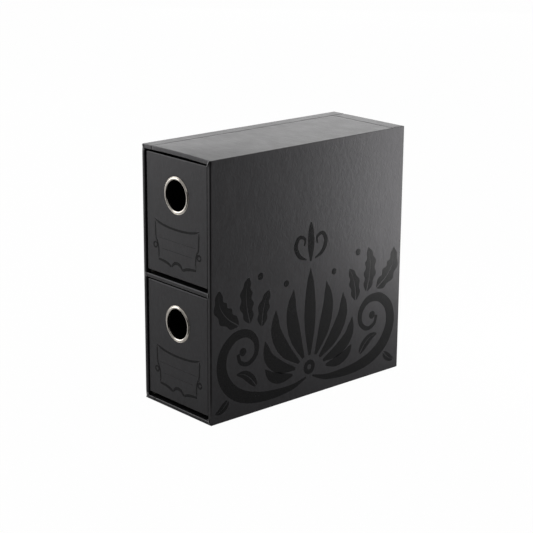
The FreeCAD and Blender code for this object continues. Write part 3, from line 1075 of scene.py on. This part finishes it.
case_sheet("case_wrap_sheet", "case_wrap_cover", 1)
case_sheet("case_left_sheet", "case_left_cover", -1)
back_sheet()
shelf_edge_strip()
corner_folds()
for side in ("left", "right", "top", "bottom", "divider"):
    eased_board(f"case_{side}_board")
side_scroll()
for drawer in DRAWERS:
    eased_front(drawer)
    drawer_front_sheet(drawer)
    drawer_wall_wrap(drawer)
    ring_pull(drawer)
    label_frame(drawer)

# The frame's own solids that stay in sight.
for node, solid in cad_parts.items():
    if solid.hide_render:
        continue
    if node.endswith("_board"):
        finish = BOARD
    elif node.endswith("_washer"):
        finish = NICKEL
    elif node.endswith("_base_sheet"):
        finish = BASE_PAPER
    elif node.endswith("_lining"):
        finish = LINING_PAPER
    else:
        finish = WRAP_PAPER
    for slot in solid.material_slots:
        slot.material = finish


# Floor, light and camera


def window_factor(tree):
    """1 for what the camera, a gloss or glass sees, and 0 for the light that falls on things."""
    path = add(tree, "ShaderNodeLightPath")
    seen = path.outputs["Is Camera Ray"]
    for kind in ("Is Glossy Ray", "Is Transmission Ray"):
        seen = add(
            tree, "ShaderNodeMath", {0: seen, 1: path.outputs[kind]}, operation="ADD", use_clamp=True
        ).outputs[0]
    return seen


def set_world():
    """White where it is seen, and a softer white as light."""
    world = bpy.data.worlds.new("studio")
    bpy.context.scene.world = world
    world.use_nodes = True
    tree = world.node_tree
    tree.nodes.clear()
    around = add(tree, "ShaderNodeTexCoord")
    toward = add(tree, "ShaderNodeSeparateXYZ", {0: around.outputs["Generated"]})
    # Gloss sees a room that is dim in front, white behind and above, and greyer straight overhead.
    back_or_up = add(
        tree,
        "ShaderNodeMath",
        {0: toward.outputs["Z"], 1: 2.2, 2: toward.outputs["Y"]},
        operation="MULTIPLY_ADD",
    )
    ceiling = spread(tree, toward.outputs["Z"], 0.95, 0.4, 0.3, 0.75)
    room = spread(tree, back_or_up.outputs[0], 0.05, ceiling, -0.2, 0.3)
    seen = spread(tree, window_factor(tree), 0.3, room, 0.0, 1.0)
    path = add(tree, "ShaderNodeLightPath")
    level = add(
        tree, "ShaderNodeMath", {0: seen, 1: path.outputs["Is Camera Ray"]}, operation="MAXIMUM"
    )
    light = add(tree, "ShaderNodeBackground", {"Color": (1, 1, 1, 1), "Strength": level.outputs[0]})
    add(tree, "ShaderNodeOutputWorld", {"Surface": light.outputs[0]})


def studio_panel(name, corners, faces, finish):
    """A flat thing of the studio."""
    mesh = bpy.data.meshes.new(name)
    mesh.from_pydata(corners, [], faces)
    mesh.materials.append(finish)
    panel = bpy.data.objects.new(name, mesh)
    bpy.context.scene.collection.objects.link(panel)
    return panel


def lay_floor():
    """A plain white floor that runs into the background and keeps a trace of the object's shadow."""
    finish, tree = empty_finish("white_floor")
    paint = add(tree, "ShaderNodeBsdfDiffuse", {"Color": linear("#f2f2f2")})
    glow = add(tree, "ShaderNodeEmission", {"Color": (1, 1, 1, 1), "Strength": 1.0})
    path = add(tree, "ShaderNodeLightPath")
    # It glows for the camera, all but a trace; in gloss it is nearly all paint.
    in_gloss = add(
        tree, "ShaderNodeMath", {0: window_factor(tree), 1: 0.06}, operation="MULTIPLY"
    )
    share = add(
        tree, "ShaderNodeMath", {0: path.outputs["Is Camera Ray"], 1: 0.925, 2: in_gloss.outputs[0]},
        operation="MULTIPLY_ADD",
    )
    mix = add(
        tree, "ShaderNodeMixShader", {0: share.outputs[0], 1: paint.outputs[0], 2: glow.outputs[0]}
    )
    add(tree, "ShaderNodeOutputMaterial", {"Surface": mix.outputs[0]})
    reach = 8.0
    corners = [(-reach, -reach, 0), (reach, -reach, 0), (reach, reach, 0), (-reach, reach, 0)]
    floor = studio_panel("floor", corners, [(0, 1, 2, 3)], finish)


def black_flag():
    """A black card beside the camera, which only gloss can see: it keeps the edges turned to it dark."""
    finish, tree = empty_finish("black_card")
    paint = add(tree, "ShaderNodeBsdfDiffuse", {"Color": linear("#0a0a0a")})
    add(tree, "ShaderNodeOutputMaterial", {"Surface": paint.outputs[0]})
    near_left, near_right, right, left = (0.02, -0.16), (0.08, -0.1), (0.7, 0.05), (0.1, -0.52)
    lift, height = 0.002, 0.32
    lying = [(*corner, lift) for corner in (near_left, near_right, right, left)]
    standing = [(*corner, height) for corner in (right, left)]
    flag = studio_panel("black_flag", lying + standing, [(0, 1, 2, 3), (3, 2, 4, 5)], finish)
    flag.visible_camera = flag.visible_diffuse = flag.visible_shadow = flag.visible_transmission = False


def soft_lamp(name, place, aim, size, watts):
    """An oblong soft lamp at place, turned to aim."""
    light = bpy.data.lights.new(name, "AREA")
    light.shape = "RECTANGLE"
    light.size, light.size_y = size
    light.energy = watts
    lamp = bpy.data.objects.new(name, light)
    place, aim = Vector(place), Vector(aim)
    turn = (aim - place).to_track_quat("-Z", "Y").to_matrix().to_4x4()
    lamp.matrix_world = Matrix.Translation(place) @ turn
    lamp.visible_camera = False
    bpy.context.scene.collection.objects.link(lamp)


def set_camera():
    """Eye level a little above the box, three-quarter from its front right."""
    target, distance = Vector((-0.01121, 0.0, 0.0953)), 1.251
    azimuth, elevation, roll = (math.radians(a) for a in (48.2254, 16.42, 0.3776))
    level = math.cos(elevation)
    away = Vector((math.sin(azimuth) * level, -math.cos(azimuth) * level, math.sin(elevation)))
    data = bpy.data.cameras.new("camera")
    data.sensor_width = 36.0
    data.lens = 105.2
    camera = bpy.data.objects.new("camera", data)
    turn = (-away).to_track_quat("-Z", "Y").to_matrix().to_4x4() @ Matrix.Rotation(roll, 4, "Z")
    camera.matrix_world = Matrix.Translation(target + away * distance) @ turn
    bpy.context.scene.collection.objects.link(camera)
    bpy.context.scene.camera = camera


set_world()
lay_floor()
black_flag()
soft_lamp("front_left_lamp", (-0.6, -0.35, 0.3), (0, -0.1, 0.15), (0.5, 0.5), 0.45)
soft_lamp("left_lamp", (-1.25, -0.5, 0.64), (0, 0, 0.1), (1.6, 1.35), 11.4)
soft_lamp("back_left_lamp", (-1.7, 1.75, 0.32), (0, 0, 0.2), (1.05, 0.6), 2.7)
soft_lamp("wide_back_lamp", (-0.5, 1.0, 0.35), (0, 0.05, 0.2), (0.9, 0.3), 0.2)
soft_lamp("back_right_lamp", (0.17, 0.31, 0.17), (0.04, 0.1, 0.14), (0.2, 0.4), 0.97)
set_camera()
bpy.context.scene.view_settings.view_transform = "Standard"
